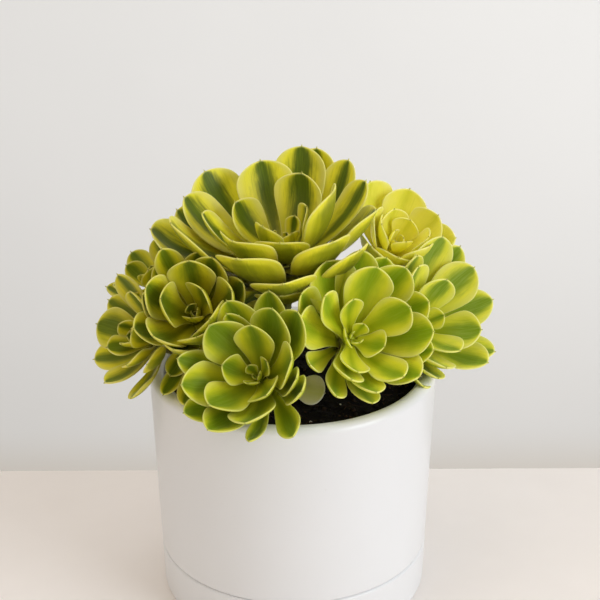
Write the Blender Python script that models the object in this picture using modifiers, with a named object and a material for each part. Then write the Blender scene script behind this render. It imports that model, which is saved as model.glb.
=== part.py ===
"""A potted succulent arrangement: eight leafy rosettes in a glazed pot that stands in a matching saucer.

The origin is the centre of the saucer's flat underside, +Z is up, and the arrangement's front faces -Y.
Run it with: blender --background --python part.py
"""

import math
from collections import namedtuple

import bmesh
import bpy
from mathutils import Matrix, Vector

MM = 0.001

# Pot and saucer.
RIM_RADIUS = 75.0 * MM
TAPER = 0.028  # radius lost for each unit of height below the rim
SAUCER_HEIGHT = 25.0 * MM
POT_HEIGHT = 102.0 * MM
WALL = 8.5 * MM
RIM_ROUND = 4.0 * MM
POT_FLOOR = 9.0 * MM
FOOT_RADIUS = 56.0 * MM
FOOT_DEPTH = 4.0 * MM
DRAIN_RADIUS = 6.0 * MM
BASIN_RADIUS = 58.5 * MM
BASIN_FLOOR = 7.0 * MM
EDGE_ROUND = 1.5 * MM
TURNED_STEPS = 40
RIM_STEPS = 4
EDGE_STEPS = 2
WELD = 0.001 * MM
SMOOTH_BELOW = math.radians(40)  # edges that bend less than this are shaded smooth

# Soil.
SOIL_DROP = 5.0 * MM  # from the rim down to the soil's edge
SOIL_CROWN = 1.5 * MM  # how much higher its middle stands
SOIL_SHOULDER = (0.6, 0.7)  # a point of its surface: the share of its radius and of its crown's height

# Leaves and stems.
GOLDEN_ANGLE = math.radians(137.508)
LEAF_THICKNESS = 1.9 * MM
LEAF_CUP = 0.28  # how far the leaf's edges stand above its midline, as a share of its half width
LEAF_BASE = 0.34  # half width at the leaf's foot, as a share of its widest
LEAF_TIP = 0.16
WIDEST_AT = 0.70
TIP_POWER = 2.3  # above 2, the tip is blunter than an ellipse
LEAF_CURL = math.radians(10)  # how much flatter the foot lies than the leaf as a whole
LEAF_ACROSS = 2
LEAF_ALONG = 4
BUD_LEAVES = 6  # the youngest leaves, drawn more simply
LEAF_CROWDING = 1.4  # above 1, the outline's points crowd towards the tip
RISE_POWER = 1.3  # how suddenly the leaves' slope falls from the youngest ones' to the oldest ones'
DROOP = 28  # how many degrees lower each hanging leaf is than the one before
LEAF_ROOT = 1.6 * MM  # from the axis out to the foot of the youngest leaf
CORE_SWELL = 0.25 * MM  # how much farther out each older leaf grows
CORE_SWELL_LEAVES = 14
CORE_RADIUS = 5.4 * MM
CORE_TOP = 1.5 * MM  # above the growing point
CORE_END = 2.0 * MM  # below the oldest leaf of the heart
CORE_SHOULDER = 0.4  # where the core thins towards its top, as a share of its depth
CORE_SHARES = (0.3, 0.75, 1)  # its radius at the top, at the shoulder and at the end
STEM_RADIUS = 4.2 * MM
STEM_TOP_RADIUS = 4.9 * MM  # where the oldest leaves grow
STEM_END_SHARE = 0.8  # the buried end's radius, as a share of the stem's
STEM_STEPS = 6
STEM_BEND = 0.45  # the length of the curve's handles, as a share of the stem's straight length
STEM_BEVEL_STEPS = 1
ROOT_DEPTH = 14.0 * MM
COLLAR_HEIGHT = 3.0 * MM  # how far above the soil the stem starts to bend
GAP = 0.3 * MM  # the least distance between two pieces that touch
ATTEMPTS = 5  # how often a Boolean that fails is tried again
HAIR = 0.02 * MM
VOLUME_SLACK = 0.001  # how far a Boolean's volume may be out, as a share of the piece's own
CORNER = 1.5  # a corner moves this much farther than the faces beside it when a piece is swollen

RIM_HEIGHT = SAUCER_HEIGHT + POT_HEIGHT

# apex: the growing point, in mm from the centre of the pot's rim. lean: the axis's tilt towards +X and +Y,
# phase: the first leaf's direction, rise: the slope of the youngest and of the oldest leaves, all in degrees.
# hand: 1 or -1, the way that the spiral of leaves turns. joined: how many of the youngest leaves are one with
# the heart. length: of the longest leaf, in mm. share: the youngest leaf's length as a share of that.
# growth and fade: over how many leaves the length and the slope settle. step: mm of stem between leaves.
# width: a leaf's half width over its length, for the youngest and the oldest leaf, and the power of the fall
# between them. droop: how many of the oldest leaves hang. root: where the stem leaves the soil, in mm.
# strays: the leaves that leave the spiral's rule, by number, each with the degrees that it turns about the axis
# and is lifted, and a factor on its length. shapes: the leaves with a form of their own, by number, each with
# a factor on its breadth, its roll about its own length in degrees, and a factor on its cup.
Rosette = namedtuple(
    "Rosette",
    "apex lean phase hand leaves joined length share growth rise fade step width droop root strays shapes",
)

ROSETTES = {
    "crown": Rosette(
        (-4, 12, 58), (-4, -13), 314, 1, 29, 14, 65, 0.22, 6.7, (71, 37), 6.5, 0.63,
        (0.44, 0.265, 4), 0, (-8, 16),
        {
            1: (-35, -11, 0.85), 3: (-3, 8, 0.9), 4: (7, -9, 0.95), 5: (-10, -7, 1.0), 6: (5, 3, 0.95),
            7: (-8, -5, 1.04), 8: (5, 15, 1.05), 9: (-6, 2, 1.0), 10: (-13, 3, 1.0), 11: (-3, -4, 1.0),
            12: (-1, -4, 1.03), 13: (1, 3, 0.99), 14: (-4, 2, 1.05), 15: (-17, 1, 1.11), 16: (-1, -2, 0.87),
            17: (5, 0, 1.03), 18: (3, -6, 1.0), 19: (-1, 5, 1.0), 20: (0, -8, 1.12), 21: (-5, 0, 0.99),
            22: (93, -77, 0.45), 23: (12, 7, 1.0), 24: (37, -103, 0.5), 25: (6, -9, 0.98),
            26: (-21, -8, 0.8), 27: (1, 6, 1.06), 28: (2, -4, 0.85),
        },
        {
            1: (0.65, 0, 1), 7: (0.6, 0, 1), 8: (1.05, 0, 1), 10: (1, 0, 1.3), 11: (0.6, 0, 1),
            12: (0.9, 0, 0.8), 14: (0.85, 0, 1), 16: (1.3, -15, 1), 18: (1, 0, 1.3), 19: (0.65, 0, 1),
            20: (0.95, 0, 0.7), 21: (0.85, 0, 1), 22: (1.4, 0, 1), 23: (1, 0, 1.3), 24: (1.3, 0, 1),
            27: (0.75, 0, 1),
        },
    ),
    "front_left": Rosette(
        (-16, -62, 22), (-21, -45), 33, 1, 22, 16, 41, 0.33, 3.4, (62, 43), 5.7, 0.61,
        (0.39, 0.17, 1), 0, (-9, -30),
        {
            0: (-5, -4, 1.0), 2: (-3, -6, 1.0), 3: (-7, 1, 1.0), 4: (4, -4, 1.0), 6: (-12, 3, 1.0),
            8: (7, 1, 1.0), 10: (11, 4, 0.9), 11: (0, -9, 0.98), 12: (-5, -1, 1.0), 13: (21, 0, 1.05),
            14: (8, -1, 1.0), 15: (8, -12, 1.0), 16: (4, -12, 1.0), 17: (0, -4, 1.0), 18: (-14, 6, 1.0),
            19: (-16, 4, 0.9), 20: (8, 0, 1.0), 21: (2, 1, 1.0),
        },
        {10: (0.75, 0, 1), 14: (0.8, 0, 1), 15: (0.7, 0, 1), 20: (0.63, 0, 1)},
    ),
    "front_right": Rosette(
        (30, -29, 27), (19, -52), 338, 1, 22, 16, 45.5, 0.40, 2.7, (60, 47), 5.5, 0.66,
        (0.29, 0.20, 1), 0, (24, -8),
        {
            0: (-6, -10, 1.0), 2: (0, -4, 1.0), 4: (-19, -1, 1.0), 7: (26, 5, 1.0), 9: (-15, -13, 0.96),
            10: (0, 4, 1.0), 11: (9, 0, 1.05), 12: (-11, 1, 1.0), 13: (-5, 3, 1.0), 14: (-9, -3, 1.05),
            15: (4, -1, 1.0), 16: (8, 0, 1.0), 18: (-20, 1, 1.0), 19: (0, -8, 1.0), 20: (6, 4, 1.0),
        },
        {
            0: (1.6, 0, 1), 1: (0.85, 0, 1), 2: (0.85, 0, 1), 4: (0.75, 0, 1), 5: (0.8, 0, 1), 6: (1.1, 0, 1),
            7: (0.72, 0, 1), 9: (1.3, 0, 1), 10: (0.74, 0, 1), 15: (0.62, 0, 1), 18: (0.75, 0, 1),
            20: (0.65, 0, 1),
        },
    ),
    "left": Rosette(
        (-48, -23, 37), (-7, -48), 266, 1, 22, 17, 37, 0.33, 1.5, (77, 53), 4.7, 0.72,
        (0.46, 0.23, 3), 3, (-36, -8),
        {
            4: (-7, -1, 1.0), 5: (-5, -6, 1.0), 7: (15, 4, 1.0), 8: (0, 8, 1.0), 9: (-4, 1, 1.0),
            10: (4, -7, 1.0), 12: (0, -3, 1.11), 13: (0, 5, 1.0), 14: (-10, -1, 1.0), 15: (0, 8, 1.0),
            16: (-62, -48, 0.71), 18: (26, -40, 1.02), 20: (-8, 18, 0.9), 21: (-10, 52, 1.17),
        },
        {2: (0.95, 0, 1.2), 12: (0.75, 0, 1), 18: (0.6, 0, 1), 21: (0.6, 0, 1)},
    ),
    "right": Rosette(
        (65, 9, 16), (36, -41), 163, 1, 20, 16, 45.5, 0.44, 3.7, (66, 41), 5.5, 0.67,
        (0.36, 0.19, 1.5), 0, (46, 12),
        {
            1: (3, -14, 1.1), 2: (5, -3, 1.0), 4: (-5, 0, 0.95), 7: (9, -3, 1.05), 10: (-4, 0, 1.15),
            11: (-4, -4, 1.0), 12: (9, 0, 1.0), 14: (-23, 5, 0.95), 15: (4, 0, 1.1), 16: (-8, -4, 0.9),
            18: (0, 12, 1.0),
        },
        {},
    ),
    "far_left": Rosette(
        (-75, -15, 21), (-52, -35), 36, -1, 16, 13, 36, 0.32, 6.0, (81, 31), 6.4, 0.73,
        (0.38, 0.24, 2), 0, (-52, 4),
        {
            0: (0, 4, 0.9), 2: (0, 8, 0.9), 4: (0, 5, 0.9), 5: (0, -7, 1.05), 8: (8, 4, 1.0),
            10: (0, -2, 1.15), 11: (-8, 4, 1.0), 12: (5, -3, 1.0),
        },
        {7: (1.4, 0, 1), 10: (0.85, 0, 1)},
    ),
    "back_right": Rosette(
        (54, 39, 48), (18, -30), 285, 1, 14, 14, 38.5, 0.39, 4.9, (75, 45), 7.0, 0.69,
        (0.42, 0.35, 2), 0, (38, 38),
        {
            2: (-14, -7, 1.05), 4: (0, 3, 0.85), 5: (3, -9, 1.0), 7: (6, 6, 0.95), 8: (0, 12, 1.0),
            12: (-4, 0, 1.1), 13: (-12, 0, 0.9),
        },
        {},
    ),
    "back_left": Rosette(
        (-69, 26, 33), (-32, -8), 100, 1, 13, 13, 32.5, 0.35, 4.0, (75, 40), 6.0, 0.70,
        (0.38, 0.24, 2), 0, (-48, 28),
        {9: (4, 0, 1.0)},
        {},
    ),
}

# Fallen leaf: its foot and tip on the soil, in mm from the centre of the rim.
FALLEN_FOOT = (-2, -34, 3.5)
FALLEN_TIP = (16, -40, 2.5)
FALLEN_ROLL = 45  # how far it stands up on its front edge, in degrees
FALLEN_BREADTH = 0.42  # half width as a share of its length

GLAZE = ((0.86, 0.85, 0.82), 0.18)
EARTH = ((0.012, 0.010, 0.008), 0.95)
BARK = ((0.16, 0.12, 0.05), 0.75)
LEAF_GREEN = ((0.24, 0.36, 0.04), 0.42)
LEAF_PALE = ((0.52, 0.56, 0.26), 0.45)


def clear_scene():
    for item in list(bpy.data.objects):
        bpy.data.objects.remove(item)


def new_collection(name, hidden=False):
    collection = bpy.data.collections.new(name)
    bpy.context.scene.collection.children.link(collection)
    collection.hide_render = hidden
    return collection


def material(name, look):
    colour, roughness = look
    made = bpy.data.materials.new(name)
    made.use_nodes = True
    shader = made.node_tree.nodes["Principled BSDF"]
    shader.inputs["Base Color"].default_value = (*colour, 1)
    shader.inputs["Roughness"].default_value = roughness
    shader.inputs["Metallic"].default_value = 0
    made.diffuse_color = (*colour, 1)
    return made


def new_object(name, data, look):
    made = bpy.data.objects.new(name, data)
    part.objects.link(made)
    data.materials.append(material(name, look))
    return made


def baked(item):
    """Replaces an object's data with its evaluated mesh, its modifiers applied and a curve's caps welded."""
    bpy.context.view_layer.update()
    graph = bpy.context.evaluated_depsgraph_get()
    mesh = bpy.data.meshes.new_from_object(item.evaluated_get(graph))
    shape = bmesh.new()
    shape.from_mesh(mesh)
    if item.type == "CURVE":
        bmesh.ops.remove_doubles(shape, verts=shape.verts, dist=WELD)
        bmesh.ops.recalc_face_normals(shape, faces=shape.faces)
        bmesh.ops.triangulate(shape, faces=shape.faces)
    shape.to_mesh(mesh)
    shape.free()
    if item.type == "MESH":
        item.modifiers.clear()
        item.data = mesh
        return item
    made = bpy.data.objects.new(item.name, mesh)
    made.matrix_world = item.matrix_world
    for collection in item.users_collection:
        collection.objects.link(made)
    name = item.name
    bpy.data.objects.remove(item)
    made.name = name
    return made


def shade_smooth(item):
    for face in item.data.polygons:
        face.use_smooth = True
    item.data.set_sharp_from_angle(angle=SMOOTH_BELOW)


def arc(centre, radius, start, end, steps):
    """Points on an arc in the profile plane, its angles in degrees from +X towards +Z."""
    points = []
    for step in range(steps + 1):
        angle = math.radians(start + (end - start) * step / steps)
        points.append((centre[0] + radius * math.cos(angle), centre[1] + radius * math.sin(angle)))
    return points


def turned(name, profile, look, closed=True):
    """A ring-shaped or solid body of revolution, from a profile that runs down its outer side."""
    shape = bmesh.new()
    verts = [shape.verts.new((x, 0, z)) for x, z in profile]
    for first, second in zip(verts, verts[1:]):
        shape.edges.new((first, second))
    if closed:
        shape.edges.new((verts[-1], verts[0]))
    mesh = bpy.data.meshes.new(name)
    shape.to_mesh(mesh)
    shape.free()
    made = new_object(name, mesh, look)
    screw = made.modifiers.new("Turn", "SCREW")
    screw.steps = screw.render_steps = TURNED_STEPS
    screw.use_merge_vertices = True
    screw.merge_threshold = WELD
    made = baked(made)
    shade_smooth(made)
    return made


def outer_radius(height):
    return RIM_RADIUS - TAPER * (RIM_HEIGHT - height)


def build_saucer():
    top = SAUCER_HEIGHT - GAP
    outer_top = outer_radius(top)
    outer_foot = outer_radius(0)
    profile = arc((outer_top - EDGE_ROUND, top - EDGE_ROUND), EDGE_ROUND, 90, 0, EDGE_STEPS)
    profile += arc((outer_foot - EDGE_ROUND, EDGE_ROUND), EDGE_ROUND, 0, -90, EDGE_STEPS)
    basin = [(0, BASIN_FLOOR), (BASIN_RADIUS - EDGE_ROUND, BASIN_FLOOR)]
    basin += [(BASIN_RADIUS, BASIN_FLOOR + EDGE_ROUND), (BASIN_RADIUS, top)]
    return turned("saucer", basin + profile + [(0, 0)], GLAZE, closed=False)


def build_pot():
    inner_drop = RIM_RADIUS - WALL
    rim_inside = (inner_drop + RIM_ROUND, RIM_HEIGHT - RIM_ROUND)
    rim_outside = (RIM_RADIUS - RIM_ROUND, RIM_HEIGHT - RIM_ROUND)
    floor_top = SAUCER_HEIGHT + POT_FLOOR
    inner_foot = outer_radius(floor_top) - WALL
    seam = outer_radius(SAUCER_HEIGHT)
    profile = arc(rim_outside, RIM_ROUND, 90, 0, RIM_STEPS)
    profile += arc((seam - EDGE_ROUND, SAUCER_HEIGHT + EDGE_ROUND), EDGE_ROUND, 0, -90, EDGE_STEPS)
    profile += [(FOOT_RADIUS, SAUCER_HEIGHT), (FOOT_RADIUS, SAUCER_HEIGHT - FOOT_DEPTH)]
    profile += [(DRAIN_RADIUS, SAUCER_HEIGHT - FOOT_DEPTH), (DRAIN_RADIUS, floor_top)]
    profile += [(inner_foot - WALL, floor_top), (inner_foot, floor_top + WALL)]
    profile += arc(rim_inside, RIM_ROUND, 180, 90, RIM_STEPS)[:-1]
    return turned("pot", profile, GLAZE)


def build_soil():
    top = RIM_HEIGHT - SOIL_DROP
    bottom = SAUCER_HEIGHT + POT_FLOOR + GAP
    upper = outer_radius(top) - WALL - GAP
    lower = outer_radius(bottom) - WALL - GAP
    out, up = SOIL_SHOULDER
    profile = [(0, top + SOIL_CROWN), (upper * out, top + SOIL_CROWN * up), (upper, top)]
    profile += [(lower, bottom + WALL), (lower - WALL - GAP, bottom), (0, bottom)]
    return turned("soil", profile, EARTH, closed=False)


def axes_of(rosette):
    """The rosette's own directions: across (towards +X), away (from the front) and its axis."""
    lean_x, lean_y = (math.radians(angle) for angle in rosette.lean)
    tilt = math.hypot(lean_x, lean_y)
    azimuth = math.atan2(lean_y, lean_x)
    flat = math.sin(tilt)
    axis = Vector((flat * math.cos(azimuth), flat * math.sin(azimuth), math.cos(tilt)))
    across = (Vector((1, 0, 0)) - axis.x * axis).normalized()
    return across, axis.cross(across), axis


def from_rim(x, y, z):
    """A point given in mm from the centre of the rim, in world metres."""
    return Vector((x * MM, y * MM, RIM_HEIGHT + z * MM))


def width_share(along):
    """The leaf's half width at this share of its length, as a share of its widest."""
    if along < WIDEST_AT:
        rise = along / WIDEST_AT
        return LEAF_BASE + (1 - LEAF_BASE) * rise * rise * (3 - 2 * rise)
    fall = (along - WIDEST_AT) / (1 - WIDEST_AT)
    return max(LEAF_TIP, math.sqrt(max(0.0, 1 - fall**TIP_POWER)))


def leaf_solid(name, foot, outward, upward, length, half_width, rise, look, segments=LEAF_ALONG, cup=LEAF_CUP):
    """A spoon-shaped leaf: a grid laid on a curved, cupped surface, then thickened."""
    shape = bmesh.new()
    bmesh.ops.create_grid(shape, x_segments=LEAF_ACROSS, y_segments=segments, size=1)
    sideways = upward.cross(outward)
    for vert in shape.verts:
        across = vert.co.x
        along = 1 - (1 - (vert.co.y + 1) / 2) ** LEAF_CROWDING
        slope = rise + LEAF_CURL * (along - 1)
        face = -math.sin(rise + LEAF_CURL * (2 * along - 1)) * outward
        face = face + math.cos(rise + LEAF_CURL * (2 * along - 1)) * upward
        spread = half_width * width_share(along)
        midline = foot + length * along * (math.cos(slope) * outward + math.sin(slope) * upward)
        vert.co = midline + spread * (across * sideways + cup * abs(across) * face)
    mesh = bpy.data.meshes.new(name)
    shape.to_mesh(mesh)
    shape.free()
    made = new_object(name, mesh, look)
    thicken = made.modifiers.new("Thicken", "SOLIDIFY")
    thicken.thickness = LEAF_THICKNESS
    thicken.offset = -1
    made.modifiers.new("Flat faces", "TRIANGULATE")
    return baked(made)


def half_width_share(rosette, number):
    """A leaf's half width as a share of its length: leaves grow relatively narrower with age."""
    young, old, power = rosette.width
    return old + (young - old) * (1 - number / (rosette.leaves - 1)) ** power


def rolled(upward, outward, degrees):
    """The leaf's upward direction turned about its length."""
    return Matrix.Rotation(math.radians(degrees), 3, outward) @ upward


def rosette_leaf(name, rosette, number):
    """The leaf with this number, 0 being the youngest, on its place in the spiral."""
    across, away, axis = axes_of(rosette)
    turn, lift, stretch = rosette.strays.get(number, (0, 0, 1))
    azimuth = math.radians(rosette.phase + turn) + rosette.hand * GOLDEN_ANGLE * number
    outward = math.cos(azimuth) * across + math.sin(azimuth) * away
    youngest, oldest = rosette.rise
    rise = oldest + (youngest - oldest) * math.exp(-((number / rosette.fade) ** RISE_POWER)) + lift
    rise -= DROOP * max(0, number - (rosette.leaves - rosette.droop) + 1)
    length = rosette.length * (1 - (1 - rosette.share) * math.exp(-number / rosette.growth)) * stretch
    reach = LEAF_ROOT + CORE_SWELL * min(number, CORE_SWELL_LEAVES)
    foot = from_rim(*rosette.apex) - rosette.step * number * MM * axis + reach * outward
    breadth, roll, depth = rosette.shapes.get(number, (1, 0, 1))
    half_width = length * half_width_share(rosette, number) * breadth * MM
    segments = LEAF_ALONG - (number < rosette.joined) - (number < BUD_LEAVES)
    rise = math.radians(rise)
    upward = rolled(axis, outward, roll)
    cup = LEAF_CUP * depth
    return leaf_solid(name, foot, outward, upward, length * MM, half_width, rise, LEAF_GREEN, segments, cup)


def core_depth(rosette):
    """How far the heart's own piece of stem reaches below the apex."""
    return rosette.step * rosette.joined * MM + CORE_END


def tube(name, points, radii, look):
    curve = bpy.data.curves.new(name, "CURVE")
    curve.dimensions = "3D"
    curve.bevel_depth = 1
    curve.bevel_resolution = STEM_BEVEL_STEPS
    curve.use_fill_caps = True
    spline = curve.splines.new("POLY")
    spline.points.add(len(points) - 1)
    for point, place, radius in zip(spline.points, points, radii):
        point.co = (*place, 1)
        point.radius = radius
    return baked(new_object(name, curve, look))


def build_stem(name, rosette):
    """A bare stem from its root end in the soil up to the leafy crown, bending towards the axis."""
    axis = axes_of(rosette)[2]
    root = from_rim(*rosette.root, -(SOIL_DROP + ROOT_DEPTH) / MM)
    collar = from_rim(*rosette.root, (COLLAR_HEIGHT - SOIL_DROP) / MM)
    crown = from_rim(*rosette.apex) - (core_depth(rosette) + 2 * GAP) * axis
    reach = (crown - collar).length * STEM_BEND
    handles = (collar, collar + Vector((0, 0, reach)), crown - reach * axis, crown)
    points = [root]
    for step in range(STEM_STEPS + 1):
        t = step / STEM_STEPS
        weights = ((1 - t) ** 3, 3 * t * (1 - t) ** 2, 3 * t * t * (1 - t), t**3)
        points.append(sum((weight * handle for weight, handle in zip(weights, handles)), Vector()))
    radii = [STEM_RADIUS * STEM_END_SHARE] + [STEM_RADIUS] * (len(points) - 3) + [STEM_TOP_RADIUS] * 2
    return tube(name, points, radii, BARK)


def build_core(name, rosette):
    """The stem's leafy end, on which the leaves of one rosette grow."""
    axis = axes_of(rosette)[2]
    apex = from_rim(*rosette.apex)
    depth = core_depth(rosette)
    points = [apex + CORE_TOP * axis, apex - CORE_SHOULDER * depth * axis, apex - depth * axis]
    return tube(name, points, [CORE_RADIUS * share for share in CORE_SHARES], LEAF_GREEN)


def measured(mesh):
    """Whether the mesh is closed, and the volume it holds."""
    shape = bmesh.new()
    shape.from_mesh(mesh)
    closed = all(edge.is_manifold for edge in shape.edges)
    held = shape.calc_volume()
    shape.free()
    return closed, held


def solved(item, other, operation, solver):
    """The mesh that one solver makes, and its volume, or nothing where the result can't be right."""
    start = item.data
    own, others = measured(start)[1], measured(other.data)[1]
    low, high = (max(own, others), own + others) if operation == "UNION" else (own - others, own)
    cut = item.modifiers.new(operation, "BOOLEAN")
    cut.operation = operation
    cut.object = other
    cut.solver = solver
    made = baked(item).data
    item.data = start
    closed, held = measured(made)
    slack = VOLUME_SLACK * own
    return (made, held) if closed and low - slack <= held <= high + slack else None


def boolean(item, other, operation):
    """Cuts or joins with the exact solver, or with the manifold one where the exact one goes wrong."""
    for _ in range(ATTEMPTS):
        exact = solved(item, other, operation, "EXACT")
        manifold = solved(item, other, operation, "MANIFOLD")
        if exact and manifold and abs(exact[1] - manifold[1]) <= VOLUME_SLACK * exact[1]:
            item.data = exact[0]
            return item
        grow(other.data)
    item.data = (manifold or exact)[0]
    return item


def grow(mesh):
    """Moves a mesh's faces out by a hair, so that none of them lies on a face of the piece it meets."""
    shape = bmesh.new()
    shape.from_mesh(mesh)
    shape.normal_update()
    for vert, normal in [(vert, vert.normal.copy()) for vert in shape.verts]:
        vert.co += normal * HAIR
    shape.to_mesh(mesh)
    shape.free()


def swollen(item):
    """A copy of a piece, larger all round by the least gap."""
    made = item.copy()
    made.data = item.data.copy()
    cutters.objects.link(made)
    made.display_type = "WIRE"
    made.hide_render = True
    shape = bmesh.new()
    shape.from_mesh(made.data)
    shape.normal_update()
    for vert, normal in [(vert, vert.normal.copy()) for vert in shape.verts]:
        vert.co += normal * GAP * CORNER
    shape.to_mesh(made.data)
    shape.free()
    return made


def bounds(item):
    corners = [item.matrix_world @ Vector(corner) for corner in item.bound_box]
    low = Vector(min(corner[axis] for corner in corners) for axis in range(3))
    high = Vector(max(corner[axis] for corner in corners) for axis in range(3))
    return low, high


def near(one, other):
    (low, high), (other_low, other_high) = bounds(one), bounds(other)
    margin = 2 * GAP
    return all(
        low[axis] - margin < other_high[axis] and other_low[axis] - margin < high[axis] for axis in range(3)
    )


def largest_piece(item):
    """Drops the crumbs that a cut leaves beside the main body."""
    shape = bmesh.new()
    shape.from_mesh(item.data)
    left = set(shape.faces)
    islands = []
    while left:
        front = [left.pop()]
        island = []
        while front:
            face = front.pop()
            island.append(face)
            for edge in face.edges:
                for beside in edge.link_faces:
                    if beside in left:
                        left.remove(beside)
                        front.append(beside)
        islands.append(island)
    islands.sort(key=lambda island: sum(face.calc_area() for face in island))
    for island in islands[:-1]:
        bmesh.ops.delete(shape, geom=island, context="FACES")
    shape.to_mesh(item.data)
    shape.free()
    return item


def keep_clear(item, obstacles):
    """Trims a piece wherever it would touch one that is already in place."""
    for obstacle in obstacles:
        if near(item, obstacle):
            item = boolean(item, obstacle, "DIFFERENCE")
    return largest_piece(item)


def build_heart(name, rosette, obstacles):
    """The youngest leaves, grown together with the end of the stem. It also returns their own obstacles."""
    heart = keep_clear(build_core(f"{name}_heart", rosette), obstacles)
    added = [swollen(heart)]
    for number in range(rosette.joined):
        leaf = rosette_leaf("young_leaf", rosette, number)
        added.append(swollen(leaf))
        leaf = keep_clear(leaf, obstacles)
        heart = boolean(heart, leaf, "UNION")
        bpy.data.objects.remove(leaf)
    return largest_piece(heart), added


def build_fallen_leaf():
    foot, tip = from_rim(*FALLEN_FOOT), from_rim(*FALLEN_TIP)
    length = (tip - foot).length
    outward = (tip - foot).normalized()
    upward = rolled(Vector((0, 0, 1)), outward, FALLEN_ROLL)
    return leaf_solid("fallen_leaf", foot, outward, upward, length, length * FALLEN_BREADTH, 0, LEAF_PALE)


clear_scene()
part = new_collection("potted_succulents")
cutters = new_collection("cutters", hidden=True)

saucer = build_saucer()
pot = build_pot()
obstacles = [swollen(pot)]

stems = []
for name, rosette in ROSETTES.items():
    stem = build_stem(f"{name}_stem", rosette)
    added = swollen(stem)
    stems.append(keep_clear(stem, obstacles))
    obstacles.append(added)
soil = build_soil()
added = swollen(soil)
soil = keep_clear(soil, obstacles)
obstacles.append(added)

placed = [pot, soil, *stems]
for name, rosette in ROSETTES.items():
    heart, added = build_heart(name, rosette, obstacles)
    placed.append(heart)
    obstacles += added
fallen_leaf = build_fallen_leaf()
added = swollen(fallen_leaf)
placed.append(keep_clear(fallen_leaf, obstacles))
obstacles.append(added)
for name, rosette in ROSETTES.items():
    for number in range(rosette.joined, rosette.leaves):
        leaf = rosette_leaf(f"{name}_leaf_{number + 1:02d}", rosette, number)
        added = swollen(leaf)
        placed.append(keep_clear(leaf, obstacles))
        obstacles.append(added)

for item in placed:
    shade_smooth(item)
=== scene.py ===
"""How the potted succulent arrangement looks, with its stage, lights and camera."""

import math
import random
from collections import namedtuple

import bpy
import numpy as np
from mathutils import Matrix, Vector, noise


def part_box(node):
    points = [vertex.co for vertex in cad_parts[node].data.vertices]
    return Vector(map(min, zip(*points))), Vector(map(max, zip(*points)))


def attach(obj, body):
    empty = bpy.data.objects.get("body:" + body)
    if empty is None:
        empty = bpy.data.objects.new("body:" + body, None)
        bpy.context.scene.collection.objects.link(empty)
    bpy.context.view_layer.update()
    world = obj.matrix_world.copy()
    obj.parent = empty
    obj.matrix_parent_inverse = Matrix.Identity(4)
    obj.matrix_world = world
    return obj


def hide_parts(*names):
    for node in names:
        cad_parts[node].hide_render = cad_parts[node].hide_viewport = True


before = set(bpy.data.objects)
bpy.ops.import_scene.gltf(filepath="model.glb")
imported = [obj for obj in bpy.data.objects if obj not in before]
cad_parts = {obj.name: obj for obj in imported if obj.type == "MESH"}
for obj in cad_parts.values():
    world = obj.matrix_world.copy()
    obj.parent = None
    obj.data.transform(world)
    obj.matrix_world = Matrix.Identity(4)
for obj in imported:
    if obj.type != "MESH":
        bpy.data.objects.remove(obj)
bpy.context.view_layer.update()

MM = 0.001

# Pot, saucer and soil, as the CAD has them. Lengths are in metres unless a comment says mm.
rim_high = Vector(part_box("pot")[1])
RIM_HEIGHT = rim_high.z
RIM_RADIUS = rim_high.x
SAUCER_HEIGHT = 25 * MM
TAPER = 0.028  # radius lost for each unit of height below the rim
WALL = 8.5 * MM
RIM_ROUND = 4 * MM
POT_FLOOR = 9 * MM
FOOT_RADIUS = 56 * MM
FOOT_DEPTH = 4 * MM
DRAIN_RADIUS = 6 * MM
BASIN_RADIUS = 58.5 * MM
BASIN_FLOOR = 7 * MM
EDGE_ROUND = 1.5 * MM
GAP = 0.3 * MM
SOIL_DROP = 5 * MM  # from the rim down to the soil's edge
SOIL_CROWN = 1.5 * MM  # how much higher its middle stands
SOIL_ROUGH = 1.1 * MM  # how far its lumps stand up, and its grains
SOIL_GRAIN = 0.35 * MM
SOIL_RINGS, SOIL_SIDES = 56, 168
TURNED_STEPS = 160
RIM_STEPS = 10
EDGE_STEPS = 6
SHARP_ABOVE = math.radians(50)  # edges above this are shaded sharp
CRUMBS = 900
CRUMB_SIZES = (0.5, 0.6, 0.8, 1, 1.5)  # in mm
PERLITE_GRAINS = 9
SHOWN_GRAIN = (9 * MM, -58 * MM)  # the one that lies in front
FIBRES = 60
FIBRE_STEPS = 6
FIBRE_RADIUS = 0.22 * MM

# The rosettes' plan, as the CAD has it. Angles are in degrees unless their line says otherwise.
GOLDEN_ANGLE = math.radians(137.508)
RISE_POWER = 1.3  # how suddenly the slope falls with age
DROOP = 28  # each hanging leaf is this much lower than the last
LEAF_ROOT = 1.6 * MM  # from the axis out to the foot of the youngest leaf
CORE_SWELL = 0.25 * MM  # how much farther out each older leaf grows
CORE_SWELL_LEAVES = 14
CORE_RADIUS = 5.4 * MM
CORE_TOP = 1 * MM  # above the growing point
CORE_END = 2  # below the heart's last step, in mm
CORE_DEPTHS = (0, 0.04, 0.2, 0.4, 0.6, 0.8, 1)  # its rings, as shares of its depth
CORE_SHARES = (0.12, 0.25, 0.45, 0.7, 0.85, 0.95, 1)  # and of its radius
CORE_BARK = 0.25  # the share of its depth that isn't bark
STEM_RADIUS = 4.2 * MM
STEM_TOP_RADIUS = 4.9 * MM
STEM_STEPS = 44
STEM_SIDES = 20
STEM_BEND = 0.45  # the curve's handles, as a share of the stem's straight length
ROOT_STEPS = 6
ROOT_DEPTH = 14 * MM
COLLAR_HEIGHT = 3  # how far above the soil the stem starts to bend, in mm
SCAR_HEIGHT = 0.35 * MM  # of the rings that fallen leaves left
SCAR_PACE = 1.9
BLADE_THICKNESS = 0.95 * MM  # at the rim; the keel below the midline adds to it
BLADE_ROUND = 0.7 * MM  # how far in from its outline a blade's edge is rounded
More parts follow.
